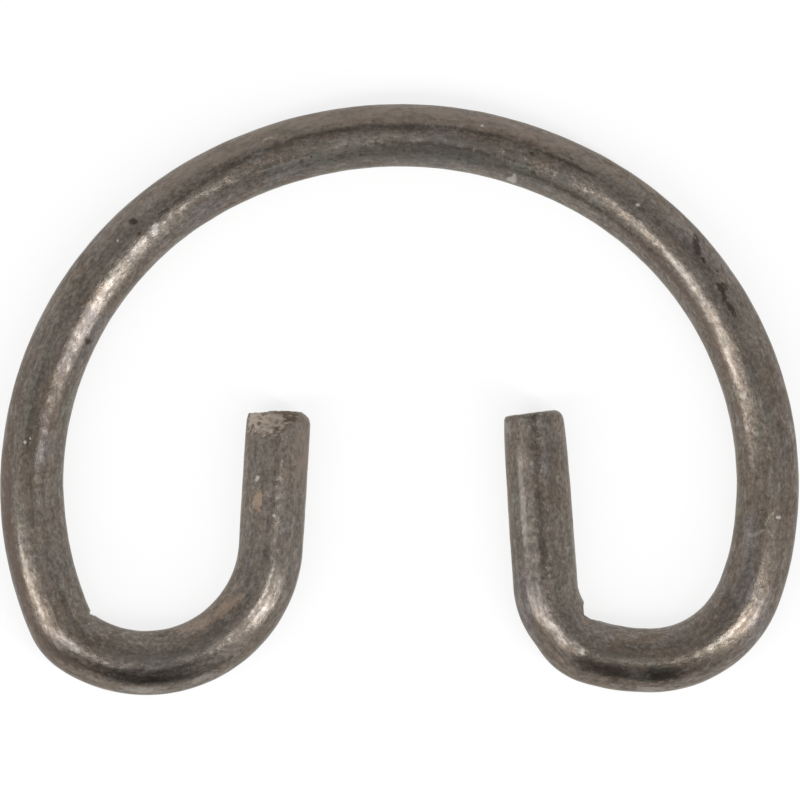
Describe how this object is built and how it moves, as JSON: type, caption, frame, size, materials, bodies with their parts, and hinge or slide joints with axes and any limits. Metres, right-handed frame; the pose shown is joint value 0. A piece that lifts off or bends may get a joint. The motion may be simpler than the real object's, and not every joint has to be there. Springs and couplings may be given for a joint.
{
  "type": "retaining ring",
  "caption": "Round-wire retaining ring for an internal groove, bent as an open arc whose ends turn inward in hooks and stand up as straight tangs.",
  "frame": {"origin": "middle of the ring, level with the middle of the wire", "axes": "+Z along the axis of the bore that the ring fits, +Y towards the crown of the arc, +X across the ring, from the left hook to the right hook"},
  "size_m": [0.0204, 0.0151, 0.0016],
  "materials": {
    "drawn_steel_wire": "dull drawn spring steel, grey-brown, with fine pits, draw lines along the wire and faint rust stains"
  },
  "bodies": {
    "root": {"retaining_ring": "drawn_steel_wire"}
  },
  "joints": []
}
